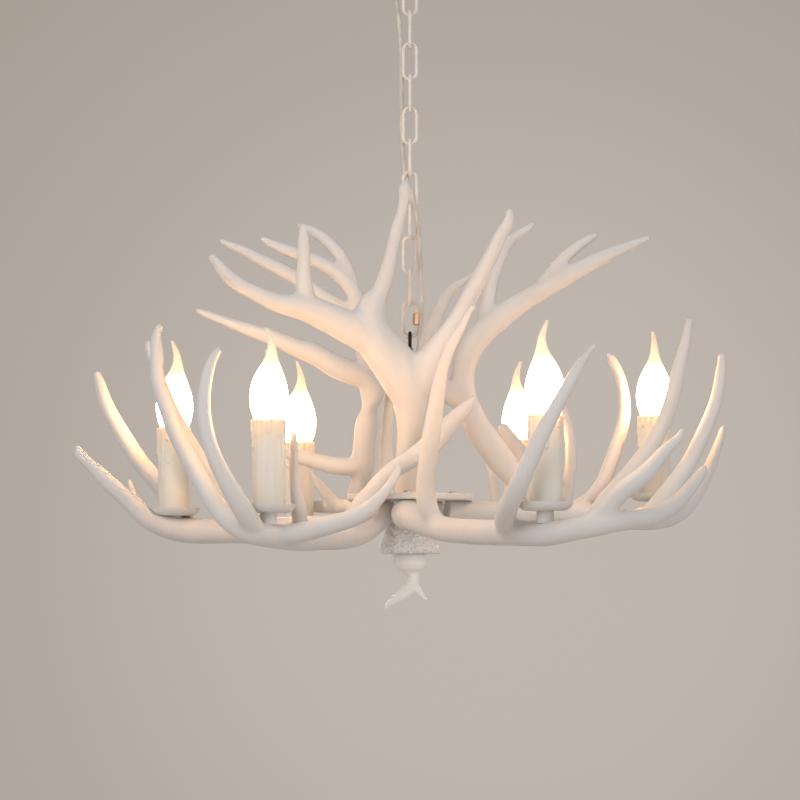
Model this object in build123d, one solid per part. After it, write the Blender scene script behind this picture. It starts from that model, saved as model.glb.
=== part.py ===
from build123d import *
import math
import os

os.makedirs("parts", exist_ok=True)

# Six-candle antler chandelier on a chain. Millimetres, +Z up.
# Origin: centre of the crossbar's top face, which lies flat on the ceiling (z = 0).
# +X is to the right and -Y towards the viewer, so "front" names what is nearest.

# ---------------------------------------------------------------- ceiling fitting
bar_length = 104.0          # crossbar that is screwed to the ceiling
bar_width = 20.0
bar_thickness = 2.5
fixing_spacing = 50.0       # between the two ceiling-screw holes
fixing_hole_r = 2.6
canopy_r = 58.0             # dished cover
canopy_depth = 28.0
canopy_wall = 1.4
canopy_shoulder = 14.0      # radius of the soft bend at the cover's lower edge
canopy_rim_gap = 0.2        # between the cover's rim and the ceiling
canopy_nut_y = 38.0         # the two cap nuts that hold the cover up
canopy_stud_r = 2.0
cap_nut_r = 4.8
cap_nut_height = 8.0
stem_r = 5.0                # hollow threaded stem through bar and cover
stem_bore_r = 3.2
stem_nut_flats = 17.0
stem_nut_height = 4.0
collar_r = 8.5              # collar under the cover that carries the ring
collar_height = 11.0
collar_thread_depth = 7.0
ring_outer_r = 12.0         # ceiling ring, in the YZ plane
ring_wire_r = 2.0
grip_x = -21.0              # cord grip in the cover
grip_r = 5.0
grip_flange_r = 7.0
grip_length = 12.0
hole_clear = 0.2            # screws, studs and tubes in their plain holes
seat_play = 0.1             # between faces that seat on each other

# ---------------------------------------------------------------- chain
link_length = 40.4          # outside
link_width = 17.0
link_wire_r = 1.75
link_count = 10
link_play = 0.1             # between the wires that bear on each other
quick_width = 18.0          # screw link at the chain's foot
quick_wire_r = 2.0
quick_gap = 6.0             # opening in its right leg
sleeve_nut_flats = 7.4      # hexagonal sleeve nut that closes the opening
sleeve_nut_length = 12.0
sleeve_nut_clear = 0.15
eye_outer_r = 10.5          # eye on top of the column, in the YZ plane
eye_wire_r = 1.8
eye_collar_r = 4.6
eye_collar_height = 3.0
eye_shank_r = 3.0
eye_thread_depth = 9.0

# ---------------------------------------------------------------- supply cord
cord_r = 2.4
cord_side = 8.2             # beside the chain
cord_off = 5.4              # behind or in front of the chain's middle plane
cord_foot_x = 8.8           # where the cord enters the column's head
cord_hole_clear = 0.3

# ---------------------------------------------------------------- hub (heights over the hub datum)
eye_top_h = 245.8           # top of the eye over the hub datum
eye_neck = 6.8              # shank between the column's head and the eye's ring
head_r = 15.0
head_height = 22.0
head_rim = 6.0              # straight part of the head
head_wall = 2.0
column_r = 7.0
column_wall = 1.6
flange_r = 9.5              # collar that bears down on the disc
flange_height = 5.0
disc_r = 64.0
disc_bottom_h = 73.2
disc_thickness = 6.4
disc_edge = 1.6
cone_neck_r = 13.0
cone_top_r = 19.0
cone_top_h = 57.0
cone_foot_r = 29.5
cone_foot_h = 28.0
rim_r = 31.0
rim_thickness = 8.4
rim_edge = 2.0
finial_cup_r = 16.8
finial_cup_height = 20.0
finial_bore_depth = 15.0
finial_stem_r = 6.6

# ---------------------------------------------------------------- candles
dish_r = 26.0               # drip dish
dish_height = 8.0
dish_wall = 1.6
dish_foot_r = 17.0
neck_r = 8.0
pocket_clear = 0.4          # round the neck where it stands in the antler
tang_r = 4.0                # threaded tang into the antler
tang_length = 9.0
sleeve_r = 16.0             # cream candle tube
sleeve_show = 80.0          # its height over the dish's rim
sleeve_wall = 1.5
drip_r = 1.7
holder_r = 12.0             # lampholder inside the tube
holder_height = 35.0
holder_foot_r = 6.0
holder_drop = 3.0           # holder's mouth below the tube's rim
socket_depth = 27.5
cap_r = 7.0                 # bulb's screw cap
cap_clear = 0.4
cap_length = 24.0
contact_r = 2.6
contact_height = 2.4
glass_sink = 2.6            # glass below the tube's rim
glass_lean = 3.2            # sideways curl of the flame's tip
# the flame's outline: height over its foot, radius, share of the lean
FLAME = [
    (0.0, 12.0, 0.0), (9.0, 16.2, 0.0), (18.0, 18.1, 0.0), (27.0, 18.3, 0.0), (36.0, 16.9, 0.0),
    (45.0, 13.9, -0.1), (54.0, 9.8, -0.4), (63.0, 6.0, -0.75), (72.0, 4.0, -0.8),
    (81.0, 2.9, -0.2), (90.0, 1.7, 0.8),
]

# candle: x, y, height of the dish's underside, height of its seat on the antler, turn of the tip
CANDLES = {
    "front_right": (124.0, -249.0, 57.0, 45.5, 350.0),
    "front_left": (-134.0, -174.0, 57.0, 45.5, 200.0),
    "left": (-236.0, -39.0, 57.0, 54.0, 175.0),
    "right": (253.0, 49.0, 74.0, 62.0, 250.0),
    "back_left": (-120.0, 162.0, 53.0, 47.0, 215.0),
    "back_right": (121.0, 248.0, 60.0, 55.0, 10.0),
}
CARRIERS = {
    "front_right": "lower_antler_front_right",
    "front_left": "lower_antler_front_left",
    "left": "lower_antler_left",
    "right": "lower_antler_right",
    "back_left": "lower_antler_back_left",
    "back_right": "lower_antler_back_right",
}
# wax drips on a tube: turn, length
DRIPS = [(8.0, 26.0), (74.0, 12.0), (128.0, 34.0), (214.0, 16.0), (282.0, 30.0), (327.0, 10.0)]

# screws through the disc into the roots of the lower antlers: x, y
ROOT_SCREWS = {
    "lower_antler_front_right": (-2.0, -53.0),
    "lower_antler_right": (44.0, 4.0),
    "lower_antler_back_right": (22.0, 41.0),
    "lower_antler_back_left": (-25.0, 38.0),
    "lower_antler_left": (-42.0, -8.0),
    "lower_antler_front_left": (-23.0, -28.0),
}
screw_r = 2.0
screw_head_r = 4.2
screw_head_height = 3.0
screw_length = 20.0

# ---------------------------------------------------------------- antlers
# Each antler is a beam with tines. A branch is a row of round sections,
# (x, y, height over the hub datum, radius), from its root to its tip.
tine_root_share = 0.8       # a tine's first section, sunk in its beam
section_step = 20.0         # between the round sections of a branch
tip_swell = 1.07            # round end of a horn, over its last section
cope_gap = 0.15             # between a coped root and the tine it sits on
burr_r = 15.9               # knob at the front right antler's root
ANTLERS = {}
ANTLERS["lower_antler_front_right"] = {
    "beam": [
        (-3, -50, 60, 14.9), (10, -67, 52, 13.4), (29, -92, 44, 12.2), (53, -130, 40, 12.1),
        (85, -185, 38, 12.3), (107, -222, 37, 12.1), (124, -249, 36, 11.5),
        (146, -268, 39, 10.5), (173, -272, 44, 10), (197, -258, 48, 9.1), (222, -236, 52, 8.8),
        (242, -216, 61, 7.9), (263, -198, 80, 6.8), (277, -186, 98, 3.2),
    ],
    "brow": [
        (26, -88, 47, 10.8), (17, -94, 67, 10.3), (16, -105, 95, 9), (20, -118, 129, 9),
        (26, -130, 167, 7.5), (34, -140, 205, 5.5), (45, -146, 229, 5.2), (60, -150, 255, 2.9),
    ],
    "mid": [
        (90, -200, 39, 11.7), (88, -240, 53, 10.1), (92, -267, 66, 9.1), (98, -280, 78, 8.6),
        (107, -286, 98, 8.4), (116, -289, 118, 7.7), (126, -289, 138, 7), (137, -286, 158, 6.1),
        (150, -280, 181, 5.4), (168, -268, 207, 2.8),
    ],
    "outer": [
        (159, -270, 45, 9.1), (176, -268, 56, 9.1), (192, -262, 73, 8.9), (211, -254, 87, 8.5),
        (228, -245, 104, 6.9), (242, -238, 119, 5), (252, -232, 131, 2.8),
    ],
}
ANTLERS["lower_antler_right"] = {
    "beam": [
        (37, 2, 64, 11.2), (61, 10, 63, 10.7), (113, 24, 62, 10.2), (160, 36, 62, 9.8),
        (196, 42, 58, 9.8), (227, 46, 55, 10.1), (250, 48, 54, 9.8), (276, 52, 60, 8.2),
        (296, 58, 80, 7.4), (309, 62, 104, 6.8), (319, 64, 128, 5.6), (326, 66, 150, 3.2),
    ],
    "outer": [
        (231, 46, 55, 10.3), (244, 25, 61, 10.2), (254, 12, 71, 9.7), (263, 9, 83, 9.2),
        (272, 9, 94, 8.9), (287, 12, 117, 8.2), (300, 15, 143, 7.6), (313, 18, 175, 6.8),
        (318, 19, 199, 6), (320, 20, 221, 4),
    ],
    "brow": [
        (150, 34, 62, 8.7), (170, 46, 67, 7.7), (189, 56, 79, 7.5), (202, 66, 97, 7.5),
        (211, 72, 118, 7.3), (218, 76, 139, 7.1), (224, 78, 160, 6.6), (225, 80, 181, 6),
        (219, 80, 210, 5.1), (209, 80, 228, 3),
    ],
    "mid": [
        (192, 40, 59, 9.8), (201, 30, 73, 9.8), (215, 20, 90, 9.2), (230, 12, 108, 8.7),
        (244, 8, 127, 8.7), (255, 6, 146, 8.3), (267, 8, 176, 7.6), (274, 12, 205, 6.8),
        (282, 17, 233, 5.9), (287, 21, 257, 4),
    ],
}
ANTLERS["lower_antler_back_right"] = {
    "beam": [
        (18, 32, 66, 10.3), (44, 92, 65, 9.5), (81, 165, 59, 9.7), (121, 248, 47, 10.6),
        (151, 268, 50, 10.1), (168, 268, 68, 8.4), (175, 258, 93, 7.3), (179, 248, 123, 6.7),
        (178, 243, 148, 6.1), (173, 238, 172, 5.4), (164, 234, 194, 3),
    ],
    "mid": [
        (96, 192, 56, 9.3), (112, 196, 74, 7.9), (125, 199, 96, 7.6), (126, 201, 119, 7.4),
        (116, 203, 139, 8), (103, 205, 157, 6.3),
    ],
    "brow": [
        (87, 170, 61, 7), (92, 176, 77, 5.4), (91, 180, 95, 4.9), (87, 184, 117, 4.6),
        (81, 188, 139, 2.9),
    ],
}
ANTLERS["lower_antler_back_left"] = {
    "beam": [
        (-21, 32, 65, 11.3), (-44, 68, 49, 10.9), (-79, 115, 40, 11.1), (-120, 162, 38, 11.3),
        (-146, 195, 45, 10.4), (-160, 212, 75, 8.8), (-160, 212, 122, 7.7),
        (-156, 206, 168, 6.6), (-154, 198, 205, 5.3), (-156, 190, 241, 3),
    ],
    "upper": [
        (-35, 56, 58, 9.3), (-56, 96, 68, 8.2), (-80, 146, 71, 7.5), (-100, 183, 72, 6.5),
        (-117, 207, 75, 5.3), (-131, 222, 79, 3.4),
    ],
    "spur": [
        (-76, 136, 70, 7.5), (-91, 134, 86, 6.4), (-105, 133, 106, 2.9),
    ],
    "brow": [
        (-37, 58, 56, 9.3), (-28, 78, 76, 8.6), (-25, 82, 103, 8.1), (-25, 80, 129, 7.1),
        (-24, 77, 155, 5.7), (-22, 74, 181, 5.4), (-17, 70, 214, 2.8),
    ],
}
ANTLERS["lower_antler_left"] = {
    "beam": [
        (-34, -6, 60, 13.7), (-71, -14, 49, 11.6), (-111, -22, 45, 12.1), (-149, -30, 43, 12.5),
        (-175, -35, 42, 12.5), (-195, -37, 42, 12.5), (-220, -40, 42, 12.5),
        (-242, -44, 46, 11.5), (-259, -48, 53, 10), (-277, -50, 68, 8.5), (-292, -49, 82, 8.2),
        (-306, -46, 95, 7.5), (-320, -42, 108, 6.2), (-333, -38, 125, 3),
    ],
    "spur": [
        (-249, -46, 48, 9), (-263, -40, 58, 7), (-274, -34, 71, 5.7), (-282, -28, 91, 2.8),
    ],
    "mid": [
        (-214, -36, 42, 11), (-228, -14, 54, 9.6), (-240, 4, 69, 9.2), (-257, 6, 92, 8.6),
        (-270, 5, 107, 8.6), (-283, 4, 125, 8.6), (-297, 2, 148, 8.1), (-308, 0, 169, 7.4),
        (-314, -2, 186, 6.5), (-318, -4, 201, 3.8),
    ],
    "brow": [
        (-166, -37, 44, 11.5), (-177, -48, 61, 9.5), (-189, -60, 80, 8.9),
        (-202, -68, 102, 8.4), (-216, -73, 125, 7.6), (-231, -75, 151, 7.1),
        (-242, -75, 175, 6.7), (-250, -73, 199, 5.4), (-256, -71, 216, 4.8),
        (-260, -69, 227, 2.7),
    ],
}
ANTLERS["lower_antler_front_left"] = {
    "beam": [
        (-19, -23, 66, 9.1), (-28, -35, 56, 10.5), (-41, -55, 44, 11.4), (-59, -82, 36, 11.8),
        (-82, -115, 34, 12.1), (-107, -145, 33, 12), (-135, -174, 36, 11.8),
        (-153, -184, 40, 11.8), (-173, -172, 52, 10), (-189, -150, 70, 9.1),
        (-205, -130, 95, 8.7), (-219, -118, 119, 8.7), (-231, -111, 144, 8.3),
        (-240, -107, 168, 7.7), (-246, -105, 186, 7.2), (-248, -103, 206, 6.6),
        (-248, -101, 224, 5.8), (-246, -99, 240, 3.7),
    ],
    "mid": [
        (-145, -184, 39, 11.3), (-155, -202, 57, 9.8), (-162, -210, 69, 8.9),
        (-172, -215, 87, 8.2), (-183, -216, 110, 7.2), (-190, -214, 133, 6.8),
        (-193, -210, 157, 6.5), (-192, -205, 176, 6), (-188, -199, 195, 5),
        (-181, -194, 209, 3),
    ],
    "spur": [
        (-103, -142, 36, 10.6), (-106, -150, 58, 7.7), (-109, -154, 79, 5.5),
        (-111, -156, 98, 4.5), (-111, -158, 117, 4.1), (-111, -159, 133, 2.4),
    ],
    "prong": [
        (-122, -165, 36, 11.4), (-95, -180, 40, 9.5), (-75, -188, 45, 8.7),
        (-61, -192, 49, 8.7), (-47, -194, 55, 8), (-34, -194, 65, 6.6), (-24, -192, 75, 5.2),
        (-18, -188, 86, 4.1), (-11, -184, 99, 2.4),
    ],
    "brow": [
        (-64, -85, 38, 10.8), (-55, -78, 59, 8.9), (-37, -74, 81, 8.4), (-22, -72, 97, 8.4),
        (-8, -70, 107, 8.9), (10, -68, 119, 9.9), (28, -65, 134, 10.4), (43, -62, 151, 8.4),
        (54, -60, 163, 6.5), (63, -58, 173, 3.3),
    ],
}
ANTLERS["upper_antler_front"] = {
    "beam": [
        (-6, -21, 72, 9.6), (-6, -21, 83, 9.8), (-5, -28, 103, 10), (-2, -36, 128, 11),
        (0, -42, 153, 13.5), (0, -45, 173, 18), (-7, -48, 194, 22.9), (-22, -50, 217, 21.9),
        (-36, -51, 238, 18.9), (-40, -50, 257, 16.4), (-34, -49, 274, 11), (-26, -48, 291, 8.2),
        (-20, -47, 312, 7), (-16, -46, 332, 6.7), (-11, -45, 352, 5.7), (-6, -44, 372, 5.4),
        (-5, -43, 392, 3),
    ],
    "left": [
        (-30, -51, 227, 19.9), (-52, -56, 240, 16.9), (-74, -64, 250, 15.3),
        (-93, -72, 258, 13.8), (-110, -80, 263, 12.3), (-128, -88, 265, 9.6),
        (-142, -95, 270, 7.9), (-156, -101, 276, 7.3), (-170, -106, 284, 6.9),
        (-183, -110, 295, 6.2), (-193, -113, 307, 3.9),
    ],
    "prong": [
        (-93, -72, 258, 12.8), (-103, -76, 271, 9.9), (-105, -78, 289, 7.8),
        (-105, -80, 308, 6.8), (-105, -82, 327, 5.8), (-105, -83, 341, 4),
    ],
    "right": [
        (-6, -45, 168, 17), (7, -47, 192, 18.9), (20, -49, 212, 14.9), (31, -52, 230, 10.4),
        (42, -55, 245, 8.9), (53, -58, 263, 9.1), (63, -61, 282, 8.4), (73, -64, 300, 7.9),
        (82, -67, 318, 7.3), (90, -70, 334, 6.6), (96, -72, 346, 5.8), (99, -74, 357, 3.9),
    ],
}
ANTLERS["upper_antler_left"] = {
    "beam": [
        (-56, 97, 71, 6.6), (-55, 97, 80, 8.9), (-53, 90, 93, 10.5), (-50, 80, 108, 11.5),
        (-48, 68, 130, 12), (-44, 60, 159, 10.9), (-40, 55, 181, 10.4), (-45, 52, 202, 11.4),
        (-62, 52, 208, 12.9), (-93, 54, 224, 11.4), (-119, 57, 235, 9.9), (-145, 60, 246, 8.3),
        (-172, 64, 255, 6.5), (-196, 68, 264, 5.1), (-222, 72, 274, 2.8),
    ],
    "lower": [
        (-49, 73, 118, 11), (-63, 74, 111, 9.4), (-78, 76, 112, 8.9), (-96, 78, 116, 8.1),
        (-115, 80, 121, 7.3), (-132, 82, 127, 3.8),
    ],
    "crown": [
        (-41, 54, 188, 10.4), (-44, 56, 216, 10.4), (-48, 60, 247, 9.9), (-52, 62, 275, 9),
        (-62, 64, 298, 8.2), (-83, 67, 318, 7.3), (-118, 71, 334, 6.6), (-138, 74, 342, 5.4),
        (-154, 76, 350, 3),
    ],
    "crown_low": [
        (-49, 60, 254, 9.4), (-62, 63, 269, 8.8), (-89, 68, 287, 8.4), (-120, 73, 309, 7.8),
        (-155, 78, 328, 6.7), (-178, 82, 340, 5.2), (-198, 85, 349, 2.9),
    ],
    "crown_high": [
        (-55, 62, 284, 7.8), (-66, 70, 318, 7.3), (-79, 76, 340, 6.9), (-94, 81, 354, 6),
        (-108, 86, 363, 4.3), (-117, 89, 366, 2.9),
    ],
}
ANTLERS["upper_antler_right"] = {
    "beam": [
        (131, 29, 67, 7.8), (126, 30, 82, 11.3), (108, 34, 100, 12.9), (93, 37, 117, 13.9),
        (76, 40, 141, 13.9), (62, 42, 166, 12.9), (55, 43, 191, 11.9), (56, 44, 216, 12.4),
        (67, 45, 239, 12.9), (83, 46, 256, 12.9), (103, 48, 272, 11.4), (129, 50, 289, 10.3),
        (155, 52, 304, 9.7), (181, 54, 318, 8.8), (207, 56, 331, 7.2), (230, 58, 341, 5.3),
        (248, 60, 349, 2.8),
    ],
    "side": [
        (131, 50, 291, 8.8), (145, 54, 308, 7.7), (156, 57, 322, 6.9), (169, 60, 335, 6.3),
        (182, 63, 346, 5.4), (193, 66, 352, 3.4),
    ],
    "crown": [
        (79, 46, 253, 11.4), (81, 52, 274, 8.3), (85, 57, 299, 6.9), (94, 62, 327, 6.4),
        (105, 66, 347, 5.4), (117, 69, 357, 4.4), (128, 72, 365, 2.9),
    ],
    "back": [
        (56, 43, 181, 12.4), (37, 40, 187, 10.3), (24, 40, 204, 9.3), (19, 42, 228, 8.3),
        (23, 45, 251, 7.7), (31, 48, 274, 6.7), (42, 52, 293, 5.2), (54, 55, 303, 4.4),
        (65, 58, 311, 2.4),
    ],
}

# ---------------------------------------------------------------- derived heights
link_pitch = link_length - 4 * link_wire_r - link_play
collar_top = -canopy_depth - seat_play
collar_foot = collar_top - collar_height
ring_z = collar_foot - ring_outer_r + ring_wire_r
ring_wire_z = ring_z - ring_outer_r + ring_wire_r
first_link_z = ring_wire_z + ring_wire_r + link_play + 2 * link_wire_r - link_length / 2
last_link_z = first_link_z - (link_count - 1) * link_pitch
last_link_floor = last_link_z - link_length / 2 + 2 * link_wire_r
quick_z = last_link_floor + link_play + 2 * quick_wire_r - link_length / 2
quick_floor = quick_z - link_length / 2 + 2 * quick_wire_r
eye_top = quick_floor + link_play + 2 * eye_wire_r
hub = eye_top - eye_top_h
eye_z = eye_top - eye_outer_r
head_top = eye_top - 2 * eye_outer_r - eye_neck
disc_bottom = hub + disc_bottom_h
disc_top = disc_bottom + disc_thickness
rim_top = hub + cone_foot_h
rim_bottom = rim_top - rim_thickness
finial_top = rim_bottom - seat_play
column_foot = finial_top - finial_bore_depth + seat_play

PARTS = {}


def turned(corners):
    """Solid of revolution about Z from (radius, z) corners."""
    return revolve(Plane.XZ * make_face(Polyline(*corners, close=True)), Axis.Z)


def rod(radius, low, high, x=0.0, y=0.0):
    """Upright cylinder between two heights."""
    return Pos(x, y, (low + high) / 2) * Cylinder(radius, high - low)


def hexagon(flats, low, high, x=0.0, y=0.0):
    """Upright hexagonal prism between two heights."""
    return Pos(x, y, low) * extrude(RegularPolygon(flats / 2, 6, major_radius=False), high - low)


def long_link(length, width, wire, plane):
    """Two half rings joined by straight legs, long way up."""
    bend = width / 2 - wire
    leg = length - width
    top = Pos(0, leg / 2, 0) * Torus(bend, wire, major_angle=180, align=None)
    foot = Pos(0, -leg / 2, 0) * Rot(0, 0, 180) * Torus(bend, wire, major_angle=180, align=None)
    left = Pos(-bend, 0, 0) * Rot(90, 0, 0) * Cylinder(wire, leg)
    right = Pos(bend, 0, 0) * Rot(90, 0, 0) * Cylinder(wire, leg)
    return plane * (top + foot + left + right)


def branch(rows, grow=0.0):
    """Smooth horn through evenly spaced round sections, square to its centre line."""
    points = [Vector(x, y, hub + h) for x, y, h, r in rows]
    radii = [r + grow for x, y, h, r in rows]
    marks = [0.0]
    for a, b in zip(points, points[1:]):
        marks.append(marks[-1] + (b - a).length)
    spine = Spline(*points)
    count = max(3, round(marks[-1] / section_step))
    side = Vector(0.31, 0.52, 0.79)
    sections = []
    for i in range(count + 1):
        share = i / count
        mark = share * marks[-1]
        k = max(j for j in range(len(marks) - 1) if marks[j] <= mark)
        part = (mark - marks[k]) / (marks[k + 1] - marks[k])
        radius = radii[k] + part * (radii[k + 1] - radii[k])
        direction = spine % share
        side = (side - direction * side.dot(direction)).normalized()
        sections.append(Plane(spine @ share, x_dir=side, z_dir=direction) * Circle(radius))
    return loft(sections) + Pos(spine @ 1) * Sphere(radii[-1] * tip_swell)


def antler(name):
    """Beam with its tines, each sunk in the beam or in the tine it grows from."""
    horn = branch(ANTLERS[name]["beam"])
    for tine, rows in ANTLERS[name].items():
        if tine == "beam":
            continue
        x, y, h, r = rows[0]
        horn += branch([(x, y, h, r * tine_root_share)] + rows[1:])
    return horn


# ---------------------------------------------------------------- ceiling fitting
bar = Pos(0, 0, -bar_thickness / 2) * Box(bar_width, bar_length, bar_thickness)
bar = fillet(bar.edges().filter_by(Axis.Z), bar_width / 2 - 0.5)
bar -= rod(stem_r + hole_clear, -2 * bar_thickness, bar_thickness)
for s in (-1, 1):
    bar -= rod(fixing_hole_r, -2 * bar_thickness, bar_thickness, 0, s * fixing_spacing / 2)
    bar -= rod(canopy_stud_r + hole_clear, -2 * bar_thickness, bar_thickness, 0, s * canopy_nut_y)
PARTS["ceiling_crossbar"] = bar

cover = rod(canopy_r, -canopy_depth, -canopy_rim_gap)
cover = fillet(cover.edges().sort_by(Axis.Z)[0], canopy_shoulder)
hollow = rod(canopy_r - canopy_wall, -canopy_depth + canopy_wall, canopy_depth)
hollow = fillet(hollow.edges().sort_by(Axis.Z)[0], canopy_shoulder - canopy_wall)
cover -= hollow
cover -= rod(stem_r + hole_clear, -canopy_depth - 1, -canopy_depth / 2)
cover -= rod(grip_r + hole_clear, -canopy_depth - 1, -canopy_depth / 2, grip_x)
for s in (-1, 1):
    cover -= rod(canopy_stud_r + hole_clear, -canopy_depth - 1, -canopy_depth / 2, 0, s * canopy_nut_y)
PARTS["canopy"] = cover

stem_foot = collar_top - collar_thread_depth + seat_play
PARTS["hanger_stem"] = rod(stem_r, stem_foot, -canopy_rim_gap) - rod(stem_bore_r, stem_foot - 1, 1)

under_bar = -bar_thickness - seat_play
in_cover = -canopy_depth + canopy_wall + seat_play
nuts = []
for low in (under_bar - stem_nut_height, in_cover):
    nut = hexagon(stem_nut_flats, low, low + stem_nut_height)
    nuts.append(nut - rod(stem_r + seat_play, low - 1, low + stem_nut_height + 1))
PARTS["stem_nuts"] = Compound(children=nuts)

collar = rod(collar_r, collar_foot, collar_top)
collar = chamfer(collar.edges().sort_by(Axis.Z)[0], 2.0)
ring = Pos(0, 0, ring_z) * (Plane.YZ * Torus(ring_outer_r - ring_wire_r, ring_wire_r))
collar += ring
collar -= rod(stem_r + seat_play, collar_top - collar_thread_depth, collar_top + 1)
PARTS["ceiling_loop"] = collar

grip_top = -canopy_depth + canopy_wall + grip_length / 2
grip_foot = -canopy_depth - grip_length / 2
grip = rod(grip_r, grip_foot, grip_top, grip_x)
grip += rod(grip_flange_r, -canopy_depth - seat_play - 2.5, -canopy_depth - seat_play, grip_x)
grip -= rod(cord_r + hole_clear, grip_foot - 1, grip_top + 1, grip_x)
PARTS["cord_grip"] = grip

cap_nuts = []
for s in (-1, 1):
    top = -canopy_depth - seat_play
    nut = rod(cap_nut_r, top - cap_nut_height, top, 0, s * canopy_nut_y)
    nut = fillet(nut.edges().sort_by(Axis.Z)[0], cap_nut_r * 0.8)
    cap_nuts.append(nut + rod(canopy_stud_r, top - 1, -canopy_rim_gap, 0, s * canopy_nut_y))
PARTS["canopy_nuts"] = Compound(children=cap_nuts)

# ---------------------------------------------------------------- chain
for i in range(link_count):
    plane = Plane.XZ if i % 2 == 0 else Plane.YZ
    link = long_link(link_length, link_width, link_wire_r, plane)
    PARTS[f"chain_link_{i + 1:02d}"] = Pos(0, 0, first_link_z - i * link_pitch) * link

quick_leg_x = quick_width / 2 - quick_wire_r
quick = Pos(0, 0, quick_z) * long_link(link_length, quick_width, quick_wire_r, Plane.XZ)
quick -= Pos(quick_leg_x, 0, quick_z) * Box(3 * quick_wire_r, 3 * quick_wire_r, quick_gap)
PARTS["quick_link"] = quick
nut_low = quick_z - sleeve_nut_length / 2
nut_high = quick_z + sleeve_nut_length / 2
nut = hexagon(sleeve_nut_flats, nut_low, nut_high, quick_leg_x)
nut &= rod(sleeve_nut_flats * 0.56, nut_low, nut_high, quick_leg_x)
PARTS["quick_link_nut"] = nut - rod(quick_wire_r + sleeve_nut_clear, nut_low - 1, nut_high + 1, quick_leg_x)

eye = Pos(0, 0, eye_z) * (Plane.YZ * Torus(eye_outer_r - eye_wire_r, eye_wire_r))
eye_seat = head_top + seat_play
eye += rod(eye_collar_r, eye_seat, eye_seat + eye_collar_height)
eye += rod(eye_shank_r, head_top - eye_thread_depth, eye_z - eye_outer_r + 2 * eye_wire_r)
PARTS["hub_loop"] = eye

# ---------------------------------------------------------------- hub
head_foot = head_top - head_height
flange_foot = disc_top + seat_play
flange_top = flange_foot + flange_height
bore_r = column_r - column_wall
column = turned([
    (0, column_foot), (column_r, column_foot), (column_r, flange_foot), (flange_r, flange_foot),
    (flange_r, flange_top), (column_r, flange_top), (column_r, head_foot),
    (head_r, head_top - head_rim), (head_r, head_top), (0, head_top),
])
column -= turned([
    (0, column_foot - 1), (bore_r, column_foot - 1), (bore_r, head_foot),
    (head_r - head_wall, head_top - head_rim), (head_r - head_wall, head_top - head_wall),
    (0, head_top - head_wall),
])
column += rod(eye_shank_r + head_wall, head_top - eye_thread_depth - seat_play, head_top)
column -= rod(eye_shank_r + seat_play, head_top - eye_thread_depth - 2, head_top + 1)
column -= rod(cord_r + cord_hole_clear, head_top - head_wall - 1, head_top + 1, cord_foot_x)
PARTS["hub_column"] = column

disc = rod(disc_r, disc_bottom, disc_top)
disc = fillet(disc.edges().filter_by(GeomType.CIRCLE), disc_edge)
disc -= rod(column_r + hole_clear, disc_bottom - 1, disc_top + 1)
for x, y in ROOT_SCREWS.values():
    disc -= rod(screw_r + hole_clear, disc_bottom - 1, disc_top + 1, x, y)
PARTS["hub_disc"] = disc

cone_top = hub + cone_top_h
neck_top = disc_bottom - seat_play
cone = turned([
    (0, rim_bottom), (rim_r - rim_edge, rim_bottom), (rim_r, rim_bottom + rim_edge),
    (rim_r, rim_top - rim_edge), (rim_r - rim_edge, rim_top), (cone_foot_r, rim_top),
    (cone_top_r, cone_top), (cone_neck_r, cone_top + 2.0), (cone_neck_r, neck_top), (0, neck_top),
])
PARTS["hub_cone"] = cone - rod(column_r + hole_clear, rim_bottom - 1, neck_top + 1)

cup_foot = finial_top - finial_cup_height
finial = turned([
    (0, cup_foot), (finial_stem_r, cup_foot), (finial_stem_r + 2.5, cup_foot + 2.5),
    (finial_cup_r - 3.0, cup_foot + 5.0), (finial_cup_r, cup_foot + 10.0),
    (finial_cup_r, finial_top - 1.5), (finial_cup_r - 1.5, finial_top), (0, finial_top),
])
finial += branch([(2.0, 0, 2, 6.0), (3.0, 0, -8, 6.4), (-1.0, 0, -16, 6.8), (-9.5, 0, -22.5, 6.2),
                  (-18.5, 0, -29.5, 4.4), (-25.5, 0, -35.2, 1.8)])
finial += branch([(4.5, 0, -10, 5.0), (7.5, 0, -17, 4.0), (11.5, 0, -22.0, 3.0), (16.3, 0, -27.2, 1.3)])
finial -= rod(column_r + hole_clear, finial_top - finial_bore_depth, finial_top + 1)
PARTS["finial"] = finial

# ---------------------------------------------------------------- antlers on the disc
for name in ANTLERS:
    PARTS[name] = antler(name)
knob = ANTLERS["lower_antler_front_right"]["beam"][0]
PARTS["lower_antler_front_right"] += Pos(knob[0], knob[1], hub + knob[2] - 1.5) * Sphere(burr_r)

screws = []
for name, (x, y) in ROOT_SCREWS.items():
    PARTS[name] -= rod(disc_r + 1, disc_bottom - seat_play, disc_top + 6)
    cap = rod(screw_head_r, disc_top + seat_play, disc_top + seat_play + screw_head_height, x, y)
    cap = fillet(cap.edges().sort_by(Axis.Z)[-1], screw_head_height * 0.6)
    tip = disc_top - screw_length
    screws.append(cap + rod(screw_r, tip, disc_top + 1, x, y))
    PARTS[name] -= rod(screw_r + hole_clear, tip - 1, disc_top, x, y)
PARTS["antler_screws"] = Compound(children=screws)

PARTS["upper_antler_front"] -= rod(disc_r, disc_bottom - 20, disc_top + seat_play)
PARTS["upper_antler_left"] -= branch(ANTLERS["lower_antler_back_left"]["upper"], cope_gap)
PARTS["upper_antler_right"] -= branch(ANTLERS["lower_antler_right"]["beam"], cope_gap)

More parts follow.
